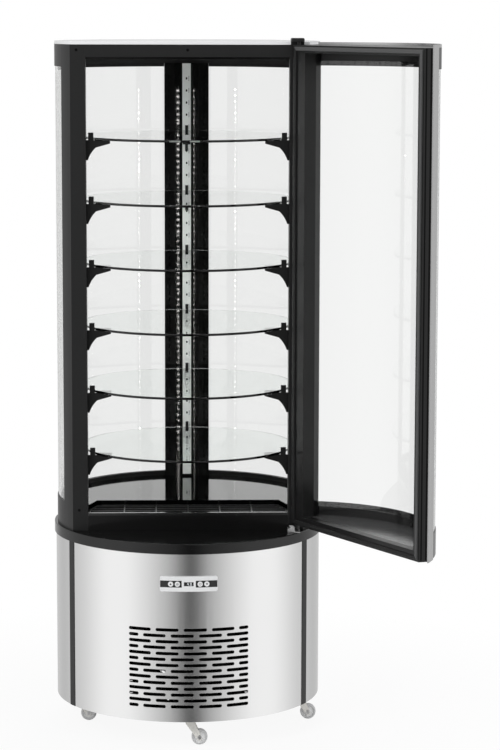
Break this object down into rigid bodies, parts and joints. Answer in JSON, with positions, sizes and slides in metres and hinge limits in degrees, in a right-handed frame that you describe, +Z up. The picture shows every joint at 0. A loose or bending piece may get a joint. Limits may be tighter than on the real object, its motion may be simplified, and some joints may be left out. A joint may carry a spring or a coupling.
{
  "type": "round glass display cabinet",
  "caption": "Round refrigerated display cabinet on casters: slotted steel drum base, glazed tower with round glass shelves on brackets and a rear post, and a bow-fronted glass door.",
  "frame": {"origin": "on the floor at the vertical axis of the drum base and the round shelves", "axes": "+Z up; -Y towards the front, where the doorway and the controls are; +X to the right seen from the front"},
  "size_m": [0.9353, 0.9979, 1.759],
  "materials": {
    "skin_steel": "stainless steel, brushed along the drum",
    "plated_steel": "zinc-plated steel",
    "frame_black": "black powder coat, satin",
    "strip_black": "black anodised, satin",
    "deck_black": "black enamel, glossy",
    "top_white": "white, glossy",
    "pane_glass": "clear toughened glass",
    "shelf_glass": "clear toughened glass with a polished edge",
    "bright_floor": "polished stainless steel",
    "bright_trim": "polished",
    "silver_trim": "satin anodised",
    "rail_white": "light grey enamel",
    "bracket_black": "black enamel, satin",
    "seal_rubber": "soft black rubber",
    "bezel_white": "white, satin",
    "fascia_dark": "dark, glossy",
    "button_white": "white, satin",
    "inlet_black": "black, moulded",
    "led_white": "white diffuser, lit",
    "screw_steel": "plated",
    "hinge_steel": "stainless steel, satin",
    "fork_steel": "zinc plated",
    "wheel_grey": "grey tread",
    "compressor_black": "black enamel",
    "fin_metal": "plain fins",
    "foam_white": "white insulated tub",
    "fan_grey": "grey, moulded"
  },
  "bodies": {
    "cabinet": {"base_pan": "plated_steel", "base_front_panel": "skin_steel", "base_side_panels": "skin_steel", "power_inlet": "inlet_black", "joint_strips": "strip_black", "deck": "deck_black", "controller_bezel": "bezel_white", "controller_fascia": "fascia_dark", "compressor": "compressor_black", "condenser": "fin_metal", "condenser_fan_mount": "plated_steel", "evaporator_housing": "foam_white", "evaporator_coil": "fin_metal", "caster_plates": "fork_steel", "tower_base_ring": "frame_black", "top_ring": "frame_black", "front_post_left": "frame_black", "front_post_right": "frame_black", "sill": "frame_black", "threshold_strip": "bright_trim", "header": "frame_black", "top_panel": "top_white", "rear_post": "frame_black", "shelf_rail": "rail_white", "floor_plate": "bright_floor", "air_grille": "silver_trim", "side_glass_right": "pane_glass", "side_glass_left": "pane_glass", "led_strips": "led_white", "frame_screws": "screw_steel", "front_brackets": "bracket_black", "rear_brackets": "bracket_black", "lower_hinge": "hinge_steel", "upper_hinge": "frame_black"},
    "door": {"door_frame": "frame_black", "door_bottom_cap": "frame_black", "door_top_cap": "frame_black", "door_glass": "pane_glass", "door_trim": "silver_trim", "door_gasket": "seal_rubber"},
    "shelf_1": {"glass_shelf_1": "shelf_glass"},
    "shelf_2": {"glass_shelf_2": "shelf_glass"},
    "shelf_3": {"glass_shelf_3": "shelf_glass"},
    "shelf_4": {"glass_shelf_4": "shelf_glass"},
    "shelf_5": {"glass_shelf_5": "shelf_glass"},
    "shelf_6": {"glass_shelf_6": "shelf_glass"},
    "button_1": {"button_1": "button_white"},
    "button_2": {"button_2": "button_white"},
    "button_3": {"button_3": "button_white"},
    "button_4": {"button_4": "button_white"},
    "condenser_fan": {"condenser_fan": "fan_grey"},
    "evaporator_fan": {"evaporator_fan": "fan_grey"},
    "caster_front": {"caster_fork_front": "fork_steel"},
    "wheel_front": {"caster_wheel_front": "wheel_grey"},
    "caster_left": {"caster_fork_left": "fork_steel"},
    "wheel_left": {"caster_wheel_left": "wheel_grey"},
    "caster_right": {"caster_fork_right": "fork_steel"},
    "wheel_right": {"caster_wheel_right": "wheel_grey"},
    "caster_rear": {"caster_fork_rear": "fork_steel"},
    "wheel_rear": {"caster_wheel_rear": "wheel_grey"}
  },
  "joints": [
    {"name": "door_hinge", "type": "hinge", "parent": "cabinet", "child": "door", "pos_m": [0.274, -0.183, 0.541], "axis": [0, 0, 1], "range_deg": [-120.5, 10]},
    {"name": "shelf_turn_1", "type": "hinge", "parent": "cabinet", "child": "shelf_1", "pos_m": [0, 0, 0.715], "axis": [0, 0, 1], "continuous": true},
    {"name": "shelf_turn_2", "type": "hinge", "parent": "cabinet", "child": "shelf_2", "pos_m": [0, 0, 0.8738], "axis": [0, 0, 1], "continuous": true},
    {"name": "shelf_turn_3", "type": "hinge", "parent": "cabinet", "child": "shelf_3", "pos_m": [0, 0, 1.0326], "axis": [0, 0, 1], "continuous": true},
    {"name": "shelf_turn_4", "type": "hinge", "parent": "cabinet", "child": "shelf_4", "pos_m": [0, 0, 1.1914], "axis": [0, 0, 1], "continuous": true},
    {"name": "shelf_turn_5", "type": "hinge", "parent": "cabinet", "child": "shelf_5", "pos_m": [0, 0, 1.3502], "axis": [0, 0, 1], "continuous": true},
    {"name": "shelf_turn_6", "type": "hinge", "parent": "cabinet", "child": "shelf_6", "pos_m": [0, 0, 1.509], "axis": [0, 0, 1], "continuous": true},
    {"name": "button_press_1", "type": "slide", "parent": "cabinet", "child": "button_1", "axis": [0.1302, 0.9915, 0], "range_m": [0, 0.001], "stiffness_N_per_m": 900, "springref_m": -0.0008},
    {"name": "button_press_2", "type": "slide", "parent": "cabinet", "child": "button_2", "axis": [0.082, 0.9966, 0], "range_m": [0, 0.001], "stiffness_N_per_m": 900, "springref_m": -0.0008},
    {"name": "button_press_3", "type": "slide", "parent": "cabinet", "child": "button_3", "axis": [-0.082, 0.9966, 0], "range_m": [0, 0.001], "stiffness_N_per_m": 900, "springref_m": -0.0008},
    {"name": "button_press_4", "type": "slide", "parent": "cabinet", "child": "button_4", "axis": [-0.1302, 0.9915, 0], "range_m": [0, 0.001], "stiffness_N_per_m": 900, "springref_m": -0.0008},
    {"name": "condenser_fan_spin", "type": "hinge", "parent": "cabinet", "child": "condenser_fan", "pos_m": [0, -0.234, 0.188], "axis": [0, 1, 0], "continuous": true},
    {"name": "evaporator_fan_spin", "type": "hinge", "parent": "cabinet", "child": "evaporator_fan", "pos_m": [0, 0.17, 0.4955], "axis": [0, 0, 1], "continuous": true},
    {"name": "caster_swivel_front", "type": "hinge", "parent": "cabinet", "child": "caster_front", "pos_m": [0, -0.29, 0.065], "axis": [0, 0, 1], "continuous": true},
    {"name": "wheel_roll_front", "type": "hinge", "parent": "caster_front", "child": "wheel_front", "pos_m": [0.027, -0.29, 0.02], "axis": [0, 1, 0], "continuous": true},
    {"name": "caster_swivel_left", "type": "hinge", "parent": "cabinet", "child": "caster_left", "pos_m": [-0.28467, -0.05534, 0.065], "axis": [0, 0, 1], "continuous": true},
    {"name": "wheel_roll_left", "type": "hinge", "parent": "caster_left", "child": "wheel_left", "pos_m": [-0.25767, -0.05534, 0.02], "axis": [0, 1, 0], "continuous": true},
    {"name": "caster_swivel_right", "type": "hinge", "parent": "cabinet", "child": "caster_right", "pos_m": [0.28467, -0.05534, 0.065], "axis": [0, 0, 1], "continuous": true},
    {"name": "wheel_roll_right", "type": "hinge", "parent": "caster_right", "child": "wheel_right", "pos_m": [0.31167, -0.05534, 0.02], "axis": [0, 1, 0], "continuous": true},
    {"name": "caster_swivel_rear", "type": "hinge", "parent": "cabinet", "child": "caster_rear", "pos_m": [0, 0.29, 0.065], "axis": [0, 0, 1], "continuous": true},
    {"name": "wheel_roll_rear", "type": "hinge", "parent": "caster_rear", "child": "wheel_rear", "pos_m": [0.027, 0.29, 0.02], "axis": [0, 1, 0], "continuous": true}
  ]
}
